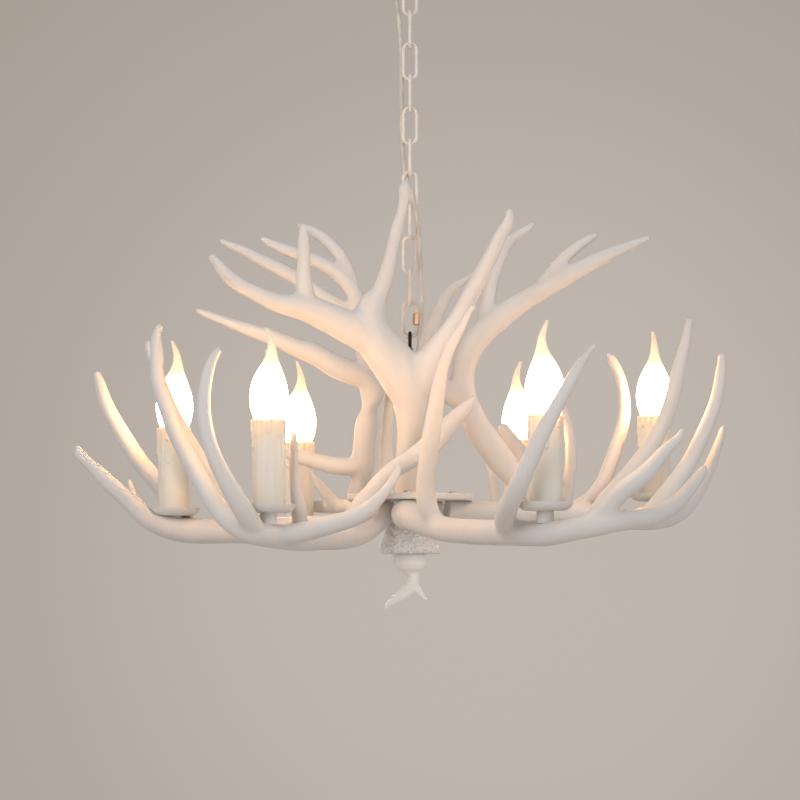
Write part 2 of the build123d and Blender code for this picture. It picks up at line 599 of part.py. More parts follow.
# ---------------------------------------------------------------- candle lights
def dish_profile(foot):
    """Half outline of the drip dish, from the neck to the rim and back to the floor."""
    rim = foot + dish_height
    floor = foot + dish_wall
    under = ThreePointArc((dish_foot_r, foot), (dish_r - 3.0, foot + 2.7), (dish_r, rim))
    inner_rim = dish_r - dish_wall
    over = ThreePointArc((inner_rim, rim), (inner_rim - 2.8, foot + 4.2), (dish_foot_r - 0.6, floor))
    lines = [
        Line((neck_r, foot), (dish_foot_r, foot)), under,
        Line((dish_r, rim), (inner_rim, rim)), over,
        Line((dish_foot_r - 0.6, floor), (0, floor)),
    ]
    return lines


holders = []
for name, (x, y, foot_h, seat_h, turn) in CANDLES.items():
    foot = foot_h
    tang_foot = seat_h - tang_length
    outline = dish_profile(foot)
    outline += [
        Line((0, foot + dish_wall), (0, tang_foot)), Line((0, tang_foot), (tang_r, tang_foot)),
        Line((tang_r, tang_foot), (tang_r, seat_h)), Line((tang_r, seat_h), (neck_r, seat_h)),
        Line((neck_r, seat_h), (neck_r, foot)),
    ]
    place = Pos(x, y, hub)
    PARTS["candle_cup_" + name] = place * revolve(Plane.XZ * make_face(outline), Axis.Z)
    carrier = CARRIERS[name]
    PARTS[carrier] -= place * rod(neck_r + pocket_clear, seat_h - seat_play, seat_h + 60)
    PARTS[carrier] -= place * turned([
        (0, foot - pocket_clear), (dish_foot_r + pocket_clear, foot - pocket_clear),
        (dish_r + pocket_clear, foot + dish_height * 0.4), (dish_r + pocket_clear, foot + 60),
        (0, foot + 60),
    ])
    PARTS[carrier] -= place * rod(tang_r + hole_clear, tang_foot - 1, seat_h + 1)

    floor = foot + dish_wall + seat_play
    top = foot + dish_height + sleeve_show
    tube = rod(sleeve_r, floor, top)
    for angle, length in DRIPS:
        a = math.radians(angle + turn)
        dx = (sleeve_r - 0.3) * math.cos(a)
        dy = (sleeve_r - 0.3) * math.sin(a)
        tube += rod(drip_r, top - length, top - 0.6, dx, dy)
        tube += Pos(dx, dy, top - length) * Sphere(drip_r * 1.15)
    tube -= rod(sleeve_r - sleeve_wall, floor - 1, top + 1)
    PARTS["candle_sleeve_" + name] = place * tube

    mouth = top - holder_drop
    holder = rod(holder_foot_r, floor, mouth - holder_height + 1)
    holder += rod(holder_r, mouth - holder_height, mouth)
    holder -= rod(cap_r + cap_clear, mouth - socket_depth, mouth + 1)
    holders.append(place * holder)

    cap_top = top - glass_sink
    cap = rod(cap_r, cap_top - cap_length, cap_top)
    cap = chamfer(cap.edges().sort_by(Axis.Z)[0], 1.5)
    cap += rod(contact_r, cap_top - cap_length - contact_height, cap_top - cap_length + 1)
    PARTS["bulb_cap_" + name] = place * cap

    sections = []
    for rise, r, lean in FLAME:
        dx = glass_lean * lean * math.cos(math.radians(turn))
        dy = glass_lean * lean * math.sin(math.radians(turn))
        sections.append(Pos(dx, dy, cap_top + seat_play + rise) * Circle(r))
    PARTS["bulb_glass_" + name] = place * loft(sections)
PARTS["lampholders"] = Compound(children=holders)

# ---------------------------------------------------------------- supply cord
cross_z = first_link_z - 6 * link_pitch        # it passes through the seventh link
ROUTE = [
    (grip_x, 0, grip_top - 1),
    (grip_x, 0, grip_foot - 10),
    (-11.5, cord_off - 1.2, first_link_z - 14),
    (-cord_side, cord_off, first_link_z - 2 * link_pitch),
    (-cord_side - 0.6, cord_off + 0.3, first_link_z - 4 * link_pitch),
    (-6.6, cord_off + 0.8, cross_z + 18),
    (6.6, -cord_off - 0.8, cross_z - 18),
    (10.4, -cord_off, cross_z - 2 * link_pitch),
    (quick_leg_x + 5.8, -cord_off - 2.2, quick_z + 4),
    (cord_foot_x, -0.4, head_top + 14),
    (cord_foot_x, 0, head_top - head_rim),
]


def cord_path(points):
    """Straight runs joined by tangent arcs as large as the runs allow."""
    vectors = [Vector(*p) for p in points]
    radii = []
    for a, b, c in zip(vectors, vectors[1:], vectors[2:]):
        turn = (b - a).get_angle(c - b)
        run = min((b - a).length, (c - b).length)
        radii.append(0.45 * run / math.tan(math.radians(turn / 2)))
    return FilletPolyline(*points, radius=radii), radii


path, cord_radii = cord_path(ROUTE)
cord = sweep(Plane(path @ 0, z_dir=path % 0) * Circle(cord_r), path)
PARTS["supply_cord"] = cord
print("cord radii", [round(r) for r in cord_radii])
print("cord volume over section times length", round(cord.volume / (math.pi * cord_r**2 * path.length), 4))
print("cord length", round(path.length), "hub", round(hub, 2))

for name, shape in PARTS.items():
    export_step(shape, f"parts/{name}.step")
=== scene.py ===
"""Antler chandelier with six candle lights: the looks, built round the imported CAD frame."""

import math
import random

import bmesh
import bpy
import numpy as np
from bpy.props import FloatProperty, FloatVectorProperty, IntProperty, PointerProperty
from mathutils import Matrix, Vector, noise


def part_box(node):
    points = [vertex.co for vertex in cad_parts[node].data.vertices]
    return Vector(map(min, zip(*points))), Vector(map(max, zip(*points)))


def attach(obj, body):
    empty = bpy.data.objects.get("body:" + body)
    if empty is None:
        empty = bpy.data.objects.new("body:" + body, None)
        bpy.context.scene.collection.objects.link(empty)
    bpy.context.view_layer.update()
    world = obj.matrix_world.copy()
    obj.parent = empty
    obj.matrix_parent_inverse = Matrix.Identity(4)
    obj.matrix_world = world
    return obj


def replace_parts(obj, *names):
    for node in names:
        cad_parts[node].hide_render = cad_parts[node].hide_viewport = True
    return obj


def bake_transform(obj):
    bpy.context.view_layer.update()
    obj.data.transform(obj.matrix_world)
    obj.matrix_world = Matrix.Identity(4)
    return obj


bl_info = {
    "name": "Antler Chandelier",
    "version": (1, 0, 0),
    "blender": (4, 5, 0),
    "location": "3D View > Sidebar > Chandelier",
    "description": "Dresses the CAD frame of an antler chandelier with resin, paint, wax and lit glass",
    "category": "Add Mesh",
}

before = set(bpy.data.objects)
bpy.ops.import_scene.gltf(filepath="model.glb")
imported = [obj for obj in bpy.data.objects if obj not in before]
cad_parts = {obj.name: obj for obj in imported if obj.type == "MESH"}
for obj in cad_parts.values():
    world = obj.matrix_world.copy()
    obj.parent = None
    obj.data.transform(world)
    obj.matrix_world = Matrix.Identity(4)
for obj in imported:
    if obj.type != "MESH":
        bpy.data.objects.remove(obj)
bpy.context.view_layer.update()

SIDES = ("front_right", "front_left", "left", "right", "back_left", "back_right")
ANTLERS = (
    "lower_antler_front_right", "lower_antler_right", "lower_antler_back_right",
    "lower_antler_back_left", "lower_antler_left", "lower_antler_front_left",
    "upper_antler_front", "upper_antler_left", "upper_antler_right",
)
CHAIN = tuple(f"chain_link_{i:02d}" for i in range(1, 11))
FIXTURE = "fixture"

# Lengths are in metres from here on.
# Route of the supply cord, from inside the ceiling cover to the column's head.
CORD_ROUTE = (
    (-0.021, 0.0, -0.0216), (-0.021, 0.0, -0.044), (-0.0115, 0.0042, -0.0877),
    (-0.0082, 0.0054, -0.1403), (-0.0088, 0.0057, -0.2069), (-0.0066, 0.0062, -0.2555),
    (0.0066, -0.0062, -0.2915), (0.0104, -0.0054, -0.3401), (0.0128, -0.0076, -0.4022),
    (0.0088, -0.0004, -0.4325), (0.0088, 0.0, -0.4525),
)
# The cord's stretches: name, top and foot height, the two bodies, where the turn starts and ends.
CORD_STRETCHES = (
    ("cord_at_cover", -0.0216, -0.077, "ceiling_mount", "top_link", -0.046, -0.074),
    ("cord_at_first_link", -0.077, -0.112, "top_link", "chain", -0.080, -0.108),
    ("cord_along_chain", -0.112, -0.409, "chain", "screw_link", -0.378, -0.406),
    ("cord_at_column", -0.409, -0.4525, "screw_link", "fixture", -0.412, -0.440),
)
CORD_RADIUS = 0.0024
CORD_SIDES = 20

# Antlers: how often normals are read again while forks fill, and the shares that a hollow moves
# outward and along the surface in one pass; shares of an even-out pass, in and out.
NORMALS_EVERY = 8
LIFT_SHARE = 0.7
SLIDE_SHARE = 0.12
RELAX_IN = 0.55
RELAX_OUT = -0.57
WAVE_SCALE = 0.028
GROOVE_SCALE = 0.0045
FINIAL_VOXEL = 0.0011
FINIAL_WAVE = 0.0003
FINIAL_WAVE_SCALE = 0.01
CONE_VOXEL = 0.0009

# Runs of wax: the tube's radius, the radius where the outside starts and how fast it starts, the
# runs' count, lengths and sway in radians, how they fade at the end and widen at the rim.
TUBE_RADIUS = 0.016
OUTSIDE_FROM = 0.0147
OUTSIDE_FADE = 0.0008
RUN_COUNT = 13
RUN_LENGTHS = (0.006, 0.011, 0.016, 0.024, 0.034, 0.045)
RUN_SWAY = 0.05
RUN_FADE = 0.002
RUN_ROOT = 0.004
RIM_DEPTH = 0.0028
WAX_WAVE = 0.0002
WAX_WAVE_SCALE = 0.007

# Sleeve nut: rows of (way from its end, reach in shares of the half width) outside and rows of
# (way from its end, gap beyond the bore) inside.
NUT_OUTSIDE = ((0.0, 0.93), (0.0004, 1.0), (0.0008, 1.07), (0.0014, 2.0))
NUT_INSIDE = ((0.0, 0.00045), (0.0003, 0.00028), (0.0020, 0.0))
NUT_BORE = 0.00215
NUT_STEPS = 72
HALF_SIDE = math.pi / 6  # half the angle that one side of a hexagon spans

# Camera, from the photograph: focal length and picture width in pixels, and where it aims, in
# pixels right of the column's axis and above the camera's own height.
SENSOR_WIDTH = 36.0  # millimetres
FOCAL_PIXELS = 2571.0
PICTURE_PIXELS = 800.0
AIM_RIGHT_PIXELS = -10.0
AIM_UP_PIXELS = 173.0
CONE_ABOVE_CAMERA = 0.0196

# Backdrop: floor below the camera, wall behind the light, the bend between them, and the middle and
# reach of the pool of light painted on the wall.
FLOOR_BELOW_CAMERA = 1.15
WALL_Y = 5.0
BEND_RADIUS = 1.4
BEND_STEPS = 12
HALF_WIDTH = 9.0
LIGHT_POOL_X = 0.26
LIGHT_POOL_ABOVE_CAMERA = 0.16
LIGHT_POOL_REACH = 2.1
WALL_FADE = 0.6
SEEN_SHARE = 0.84  # of the flat colour in what the camera sees


# ------------------------------------------------------------------ settings
class AntlerSettings(bpy.types.PropertyGroup):
    """Cast resin antlers."""

    voxel: FloatProperty(name="Mesh size", description="Edge length of the remeshed horn",
                         default=0.0016, min=0.001, max=0.006, unit="LENGTH")
    fillet_passes: IntProperty(name="Crotch passes", description="Passes that fill the forks",
                               default=340, min=0, max=800)
    wave: FloatProperty(name="Waviness", description="Height of the slow swells along a horn",
                        default=0.00035, min=0.0, max=0.003, unit="LENGTH")
    groove: FloatProperty(name="Groove depth", description="Depth of the fine grooves along a horn",
                          default=0.0001, min=0.0, max=0.001, unit="LENGTH")
    colour: FloatVectorProperty(name="Resin", description="Colour of the cast resin", size=3,
                                default=(0.69, 0.655, 0.62), subtype="COLOR", min=0, max=1)


class HubSettings(bpy.types.PropertyGroup):
    """Plate, cone and column."""

    grain: FloatProperty(name="Plaster grain", description="Height of the stucco's crumbs",
                         default=0.0011, min=0.0, max=0.003, unit="LENGTH")
    colour: FloatVectorProperty(name="Plaster", description="Colour of the stucco", size=3,
                                default=(0.86, 0.845, 0.82), subtype="COLOR", min=0, max=1)
    paint: FloatVectorProperty(name="Paint", description="Colour of the painted metal", size=3,
                               default=(0.70, 0.655, 0.605), subtype="COLOR", min=0, max=1)


class CandleSettings(bpy.types.PropertyGroup):
    """Candle tubes and drip dishes."""

    voxel: FloatProperty(name="Mesh size", description="Edge length of the wax mesh",
                         default=0.00065, min=0.0005, max=0.003, unit="LENGTH")
    drip_width: FloatProperty(name="Drip width", description="Width of a run of wax",
                              default=0.0024, min=0.001, max=0.008, unit="LENGTH")
    drip_height: FloatProperty(name="Drip height", description="How far a run of wax stands out",
                               default=0.0009, min=0.0, max=0.004, unit="LENGTH")
    colour: FloatVectorProperty(name="Wax", description="Colour of the candle tube", size=3,
                                default=(0.80, 0.76, 0.675), subtype="COLOR", min=0, max=1)
    dish: FloatVectorProperty(name="Dish", description="Colour of the drip dish", size=3,
                              default=(0.70, 0.68, 0.64), subtype="COLOR", min=0, max=1)


class BulbSettings(bpy.types.PropertyGroup):
    """Lit flame bulbs."""

    glow: FloatProperty(name="Glow", description="Brightness of the lit glass", default=29.0,
                        min=0.0, max=60.0)
    tip_glow: FloatProperty(name="Tip glow", description="Brightness of the glass at its tip",
                            default=1.0, min=0.0, max=10.0)
    colour: FloatVectorProperty(name="Light", description="Colour of the lit glass", size=3,
                                default=(1.0, 0.56, 0.26), subtype="COLOR", min=0, max=1)


class StageSettings(bpy.types.PropertyGroup):
    """Backdrop, lamps and camera."""

    backdrop: FloatVectorProperty(name="Backdrop", description="Colour behind the light", size=3,
                                  default=(0.521, 0.466, 0.420), subtype="COLOR", min=0, max=1)
    ambient: FloatProperty(name="Ambient", description="Strength of the light from all round",
                           default=0.62, min=0.0, max=3.0)
    key_power: FloatProperty(name="Key power", description="Power of the large soft lamp",
                             default=31.0, min=0.0, max=400.0, unit="POWER")
    glow_power: FloatProperty(name="Glow power", description="Warm light on the upper antlers",
                              default=16.0, min=0.0, max=200.0, unit="POWER")
    distance: FloatProperty(name="Camera distance", description="From the column's axis",
                            default=2.61, min=1.0, max=10.0, unit="LENGTH")


class ChandelierSettings(bpy.types.PropertyGroup):
    """All settings of the chandelier."""

    antlers: PointerProperty(type=AntlerSettings)
    hub: PointerProperty(type=HubSettings)
    candles: PointerProperty(type=CandleSettings)
    bulbs: PointerProperty(type=BulbSettings)
    stage: PointerProperty(type=StageSettings)


# ------------------------------------------------------------------ colours and shader nodes
def shade(colour, factor):
    """A colour made lighter or darker."""
    return tuple(min(1.0, c * factor) for c in colour)


def tint(colour, red, green, blue):
    """A colour with each channel scaled."""
    return (min(1, colour[0] * red), min(1, colour[1] * green), min(1, colour[2] * blue))


def new_material(name):
    """Node material as Blender makes it; returns (material, nodes, links, shader)."""
    material = bpy.data.materials.new(name)
    material.use_nodes = True
    nodes, links = material.node_tree.nodes, material.node_tree.links
    return material, nodes, links, nodes["Principled BSDF"]


def noise_texture(nodes, links, scale, detail=4.0, rough=0.55, stretch=(1, 1, 1)):
    """Noise in object space, stretched along an axis; returns its output."""
    place = nodes.new("ShaderNodeTexCoord")
    mapping = nodes.new("ShaderNodeMapping")
    mapping.inputs["Scale"].default_value = stretch
    texture = nodes.new("ShaderNodeTexNoise")
    texture.inputs["Scale"].default_value = scale
    texture.inputs["Detail"].default_value = detail
    texture.inputs["Roughness"].default_value = rough
    links.new(place.outputs["Object"], mapping.inputs["Vector"])
    links.new(mapping.outputs["Vector"], texture.inputs["Vector"])
    return texture.outputs["Fac"]


def height_share(nodes, links):
    """Height in the piece's own box, 0 at its foot and 1 at its top; returns the output."""
    place = nodes.new("ShaderNodeTexCoord")
    height = nodes.new("ShaderNodeSeparateXYZ")
    links.new(place.outputs["Generated"], height.inputs["Vector"])
    return height.outputs["Z"]


def ramp(nodes, links, source, stops):
    """Colour ramp fed by a value, with stops of (position, colour); returns its output."""
    node = nodes.new("ShaderNodeValToRGB")
    elements = node.color_ramp.elements
    while len(elements) < len(stops):
        elements.new(0.5)
    for element, (position, colour) in zip(elements, stops):
        element.position = position
        element.color = (*colour, 1)
    links.new(source, node.inputs["Fac"])
    return node.outputs["Color"]


def map_range(nodes, links, source, span, result=(0.0, 1.0), smooth=False):
    """Maps a value from one span to another, held at both ends; returns the output."""
    node = nodes.new("ShaderNodeMapRange")
    if smooth:
        node.interpolation_type = "SMOOTHSTEP"
    for key, value in zip(("From Min", "From Max", "To Min", "To Max"), (*span, *result)):
        node.inputs[key].default_value = value
    links.new(source, node.inputs["Value"])
    return node.outputs["Result"]


def multiply(nodes, links, first, second):
    """Product of two colours; returns the output."""
    node = nodes.new("ShaderNodeMix")
    node.data_type = "RGBA"
    node.blend_type = "MULTIPLY"
    node.inputs["Factor"].default_value = 1.0
    links.new(first, node.inputs["A"])
    links.new(second, node.inputs["B"])
    return node.outputs["Result"]


def paint_shade_in_hollows(nodes, links, colour, span, darkest):
    """Painted shade: darkens a colour in hollows, where shade falls; span is the pointiness where it is
    darkest and where it ends.
    """
    surface = nodes.new("ShaderNodeNewGeometry")
    share = map_range(nodes, links, surface.outputs["Pointiness"], span, (darkest, 1.0))
    return multiply(nodes, links, colour, share)


def scatter(shader, weight, radius):
    """Light that enters the surface a little, with its reach in red, green and blue."""
    shader.inputs["Subsurface Weight"].default_value = weight
    shader.inputs["Subsurface Radius"].default_value = radius
    shader.inputs["Subsurface Scale"].default_value = 1.0


def bump(nodes, links, source, shader, strength, distance):
    """Adds a bump from a height value to the shader."""
    node = nodes.new("ShaderNodeBump")
    node.inputs["Strength"].default_value = strength
    node.inputs["Distance"].default_value = distance
    links.new(source, node.inputs["Height"])
    links.new(node.outputs["Normal"], shader.inputs["Normal"])


def seen_rays(nodes, links):
    """1 for rays from the camera and from reflections, else 0; returns the output."""
    rays = nodes.new("ShaderNodeLightPath")
    either = nodes.new("ShaderNodeMath")
    either.operation = "MAXIMUM"
    links.new(rays.outputs["Is Camera Ray"], either.inputs[0])
    links.new(rays.outputs["Is Glossy Ray"], either.inputs[1])
    return either.outputs["Value"]


def mix_into(nodes, links, share, first, second, surface):
    """Mixes two shaders by a share and feeds them to a surface socket."""
    mixed = nodes.new("ShaderNodeMixShader")
    links.new(share, mixed.inputs["Fac"])
    links.new(first, mixed.inputs[1])
    links.new(second, mixed.inputs[2])
    links.new(mixed.outputs["Shader"], surface)


# ------------------------------------------------------------------ materials
def mottled(name, colour, scale, spread, roughness, grain, bump_height, specular=0.35):
    """Slightly uneven coat: cloudy colour, uneven gloss and a fine grain."""
    material, nodes, links, shader = new_material(name)
    cloud = noise_texture(nodes, links, scale)
    stops = [(0.25, shade(colour, 1 - spread)), (0.75, shade(colour, 1 + spread * 0.5))]
    links.new(ramp(nodes, links, cloud, stops), shader.inputs["Base Color"])
    gloss = map_range(nodes, links, cloud, (0.0, 1.0), (roughness - 0.07, roughness + 0.08))
    links.new(gloss, shader.inputs["Roughness"])
    shader.inputs["Specular IOR Level"].default_value = specular
    fine = noise_texture(nodes, links, grain, detail=6.0)
    bump(nodes, links, fine, shader, 0.35, bump_height)
    return material


def antler_resin(name, colour):
    """Matt cast resin: cloudy cream, painted shade in the hollows and faint streaks up the horn."""
    material, nodes, links, shader = new_material(name)
    cloud = noise_texture(nodes, links, 14.0, detail=5.0)
    tone = ramp(nodes, links, cloud, [
        (0.22, tint(colour, 0.93, 0.915, 0.89)), (0.5, colour), (0.8, tint(colour, 1.03, 1.03, 1.03)),
    ])
    # The hollows between tines are darkened to 0.8 as painted shade.
    links.new(paint_shade_in_hollows(nodes, links, tone, (0.42, 0.51), 0.80), shader.inputs["Base Color"])
    shader.inputs["Roughness"].default_value = 0.52
    shader.inputs["Specular IOR Level"].default_value = 0.32
    scatter(shader, 0.06, (0.004, 0.0025, 0.0015))
    streak = noise_texture(nodes, links, 70.0, detail=1.0, stretch=(1, 1, 0.3))
    bump(nodes, links, streak, shader, 0.10, 0.0008)
    return material


def stucco(colour):
    """Crumbly plaster with pits between its crumbs, painted grey as painted shade."""
    material, nodes, links, shader = new_material("stucco")
    pits = noise_texture(nodes, links, 420.0, detail=5.0, rough=0.7)
    # The pits are painted darker as painted shade; the same noise gives the bump.
    tone = ramp(nodes, links, pits, [
        (0.34, shade(colour, 0.58)), (0.44, shade(colour, 0.92)), (0.62, shade(colour, 1.05)),
    ])
    links.new(tone, shader.inputs["Base Color"])
    shader.inputs["Roughness"].default_value = 0.85
    shader.inputs["Specular IOR Level"].default_value = 0.2
    bump(nodes, links, pits, shader, 0.9, 0.0014)
    return material


def metal(name, colour, roughness, grain):
    """Bare metal with fine scratches."""
    material, nodes, links, shader = new_material(name)
    scratch = noise_texture(nodes, links, grain, detail=5.0, stretch=(1, 1, 0.15))
    tone = ramp(nodes, links, scratch, [(0.3, shade(colour, 0.78)), (0.7, shade(colour, 1.08))])
    links.new(tone, shader.inputs["Base Color"])
    shader.inputs["Metallic"].default_value = 1.0
    shader.inputs["Roughness"].default_value = roughness
    bump(nodes, links, scratch, shader, 0.25, 0.0002)
    return material


def candle_wax(colour):
    """Ivory wax look: painted warm bulb light towards the melted rim, painted shade towards the foot
    and beside its runs, faint streaks down.
    """
    material, nodes, links, shader = new_material("candle_wax")
    # Painted light by height: darker towards the foot as painted shade, warmer towards the rim as
    # painted light of the bulb above.
    bulb_glow_and_foot_shade = ramp(nodes, links, height_share(nodes, links), [
        (0.0, shade(colour, 0.93)), (0.6, colour), (0.9, tint(colour, 1.06, 1.0, 0.93)),
        (1.0, tint(colour, 1.10, 0.99, 0.88)),
    ])
    streak = noise_texture(nodes, links, 120.0, detail=4.0, stretch=(1, 1, 0.1))
    faint = ramp(nodes, links, streak, [(0.3, (0.93, 0.92, 0.90)), (0.6, (1, 1, 1))])
    # Painted shade in the hollows beside the runs of wax.
    tone = paint_shade_in_hollows(nodes, links, multiply(nodes, links, bulb_glow_and_foot_shade, faint), (0.43, 0.495), 0.62)
    links.new(tone, shader.inputs["Base Color"])
    shader.inputs["Roughness"].default_value = 0.42
    scatter(shader, 0.12, (0.005, 0.003, 0.0015))
    bump(nodes, links, noise_texture(nodes, links, 500.0), shader, 0.15, 0.0004)
    return material


def lit_glass(settings):
    """Frosted flame glass, brightest in its belly and a dim warm yellow at its tip."""
    material, nodes, links, shader = new_material("lit_glass")
    height = height_share(nodes, links)
    hot = tuple(settings.colour)
    tone = ramp(nodes, links, height, [
        (0.0, hot), (0.50, hot), (0.62, (0.92, 0.70, 0.33)), (0.73, (0.58, 0.44, 0.20)),
        (0.86, (0.36, 0.23, 0.11)), (1.0, (0.17, 0.11, 0.07)),
    ])
    glow = (settings.glow, settings.tip_glow)
    power = map_range(nodes, links, height, (0.28, 0.66), glow, smooth=True)
    links.new(tone, shader.inputs["Emission Color"])
    links.new(power, shader.inputs["Emission Strength"])
    frost = noise_texture(nodes, links, 200.0)
    milk = ramp(nodes, links, frost, [(0.3, (0.66, 0.60, 0.50)), (0.7, (0.74, 0.68, 0.57))])
    links.new(milk, shader.inputs["Base Color"])
    shader.inputs["Roughness"].default_value = 0.18
    shader.inputs["Coat Weight"].default_value = 0.5
    shader.inputs["Coat Roughness"].default_value = 0.08
    return material


def cord_sheath():
    """Smooth clear-grey sheath over twisted cores."""
    material, nodes, links, shader = new_material("cord_sheath")
    cores = noise_texture(nodes, links, 150.0, detail=2.0, stretch=(1, 1, 0.35))
    tone = ramp(nodes, links, cores, [(0.35, (0.50, 0.46, 0.41)), (0.65, (0.68, 0.635, 0.575))])
    links.new(tone, shader.inputs["Base Color"])
    shader.inputs["Roughness"].default_value = 0.33
    bump(nodes, links, cores, shader, 0.2, 0.0005)
    return material


def painted_light_pool(nodes, links, position, colour, datum):
    """Colour of the wall with a painted pool of light: brightest at one place and darker outward;
    returns the output.
    """
    spot = nodes.new("ShaderNodeMapping")
    spot.inputs["Location"].default_value = (-LIGHT_POOL_X, 0.0, -LIGHT_POOL_ABOVE_CAMERA - datum)
    spot.inputs["Scale"].default_value = (1.0, 0.0, 1.0)
    links.new(position, spot.inputs["Vector"])
    away = nodes.new("ShaderNodeVectorMath")
    away.operation = "LENGTH"
    links.new(spot.outputs["Vector"], away.inputs[0])
    share = map_range(nodes, links, away.outputs["Value"], (0.0, LIGHT_POOL_REACH))
    # The wall darkens outward from the middle of the pool, a painted falloff of light.
    return ramp(nodes, links, share, [
        (0.0, colour), (0.28, shade(colour, 0.985)), (0.42, shade(colour, 0.94)),
        (0.66, tint(colour, 0.82, 0.81, 0.80)), (0.9, tint(colour, 0.745, 0.73, 0.71)),
        (1.0, tint(colour, 0.70, 0.685, 0.66)),
    ])


def backdrop_paper(colour, datum):
    """Matt paper, which the camera sees in a flat colour: plain floor and a wall with a painted pool of
    light.
    """
    material, nodes, links, shader = new_material("backdrop_paper")
    shader.inputs["Base Color"].default_value = (*shade(colour, 1.45), 1)
    shader.inputs["Roughness"].default_value = 0.9
    place = nodes.new("ShaderNodeNewGeometry")
    depth = nodes.new("ShaderNodeSeparateXYZ")
    links.new(place.outputs["Position"], depth.inputs["Vector"])
    bend = WALL_Y - BEND_RADIUS
    wall_share = map_range(nodes, links, depth.outputs["Y"], (bend - WALL_FADE, bend + WALL_FADE))
    paper = nodes.new("ShaderNodeMix")
    paper.data_type = "RGBA"
    paper.inputs["A"].default_value = (*shade(colour, 0.97), 1)
    links.new(wall_share, paper.inputs["Factor"])
    # The wall takes the painted pool of light.
    links.new(painted_light_pool(nodes, links, place.outputs["Position"], colour, datum), paper.inputs["B"])
    flat = nodes.new("ShaderNodeEmission")
    flat.inputs["Strength"].default_value = 1.05
    links.new(paper.outputs["Result"], flat.inputs["Color"])
    part = nodes.new("ShaderNodeMath")
    part.operation = "MULTIPLY"
    part.inputs[1].default_value = SEEN_SHARE
    links.new(seen_rays(nodes, links), part.inputs[0])
    mix_into(nodes, links, part.outputs["Value"], shader.outputs["BSDF"], flat.outputs["Emission"],
             nodes["Material Output"].inputs["Surface"])
    return material


# ------------------------------------------------------------------ objects and meshes
def placed(name, data):
    """Object for a mesh, curve, lamp or camera, linked to the scene."""
    item = bpy.data.objects.new(name, data)
    bpy.context.scene.collection.objects.link(item)
    return item


def point_at(item, aim):
    """Turns a lamp or the camera so that it looks at a place."""
    way = Vector(aim) - item.location
    item.rotation_euler = way.to_track_quat("-Z", "Y").to_euler()


def shade_smooth(mesh):
    """Smooth shading on all faces."""
    mesh.polygons.foreach_set("use_smooth", [True] * len(mesh.polygons))


def mesh_object(name, mesh, material, body):
    """Links a mesh as a piece that rides on a body."""
    piece = placed(name, mesh)
    mesh.materials.clear()
    mesh.materials.append(material)
    shade_smooth(mesh)
    if body:
        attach(piece, body)
    return piece


def dress(nodes, material):
    """Gives CAD nodes their finish."""
    for name in nodes:
        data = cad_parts[name].data
        data.materials.clear()
        data.materials.append(material)


def remeshed(name, source, voxel):
    """Evenly meshed copy of an object."""
    copy = placed(name, source.data.copy())
    weld = bmesh.new()
    weld.from_mesh(copy.data)
    bmesh.ops.remove_doubles(weld, verts=weld.verts, dist=1e-6)
    weld.to_mesh(copy.data)
    weld.free()
    modifier = copy.modifiers.new("even", "REMESH")
    modifier.mode = "VOXEL"
    modifier.voxel_size = voxel
    modifier.use_smooth_shade = True
    graph = bpy.context.evaluated_depsgraph_get()
    mesh = bpy.data.meshes.new_from_object(copy.evaluated_get(graph))
    bpy.data.objects.remove(copy)
    mesh.name = name
    return mesh


def coarser(voxel):
    return voxel * 1


def read_points(mesh):
    """Vertex places as an array."""
    points = np.empty(len(mesh.vertices) * 3)
    mesh.vertices.foreach_get("co", points)
    return points.reshape(-1, 3)


def write_points(mesh, points):
    """Puts vertex places back."""
    mesh.vertices.foreach_set("co", points.ravel())
    mesh.update()


def read_normals(mesh):
    """Vertex normals as an array."""
    normals = np.empty(len(mesh.vertices) * 3)
    mesh.vertices.foreach_get("normal", normals)
    return normals.reshape(-1, 3)


def neighbours(mesh):
    """First and second vertex of each edge, and how many neighbours each vertex has."""
    edges = np.empty(len(mesh.edges) * 2, int)
    mesh.edges.foreach_get("vertices", edges)
    first, second = edges.reshape(-1, 2).T
    count = np.bincount(np.r_[first, second], minlength=len(mesh.vertices))
    return first, second, np.maximum(count, 1)[:, None]


def pull_inward(points, near):
    """Way from each vertex to the middle of its neighbours."""
    first, second, count = near
    total = np.empty_like(points)
    for k in range(3):
        total[:, k] = (np.bincount(first, points[second, k], len(points))
                       + np.bincount(second, points[first, k], len(points)))
    return total / count - points


def fill_forks(mesh, passes):
    """Rounds hollows, such as the crotch between two tines, and leaves ridges and tips alone."""
    points = read_points(mesh)
    near = neighbours(mesh)
    for i in range(passes):
        if i % NORMALS_EVERY == 0:
            write_points(mesh, points)
            normals = read_normals(mesh)
        pull = pull_inward(points, near)
        rise = (pull * normals).sum(1)[:, None]
        slide = pull - rise * normals
        hollow = rise > 0
        lifted = points + np.where(hollow, LIFT_SHARE * rise, 0) * normals
        points = lifted + np.where(hollow, SLIDE_SHARE, 0) * slide
    write_points(mesh, points)


def relax(mesh, passes):
    """Evens out the small steps of a remesh, in and out in turn so that nothing shrinks."""
    points = read_points(mesh)
    near = neighbours(mesh)
    for i in range(2 * passes):
        points = points + pull_inward(points, near) * (RELAX_IN if i % 2 == 0 else RELAX_OUT)
    write_points(mesh, points)


def swell(mesh, height, scale, stretch, seed):
    """Moves the surface in and out by a slow noise."""
    points = read_points(mesh)
    normals = read_normals(mesh)
    offset = Vector((seed * 3.1, seed * 7.7, seed * 1.9))
    lift = np.array([
        noise.noise(Vector(p) / scale + offset) for p in points * np.array(stretch, float)
    ])
    write_points(mesh, points + normals * lift[:, None] * height)


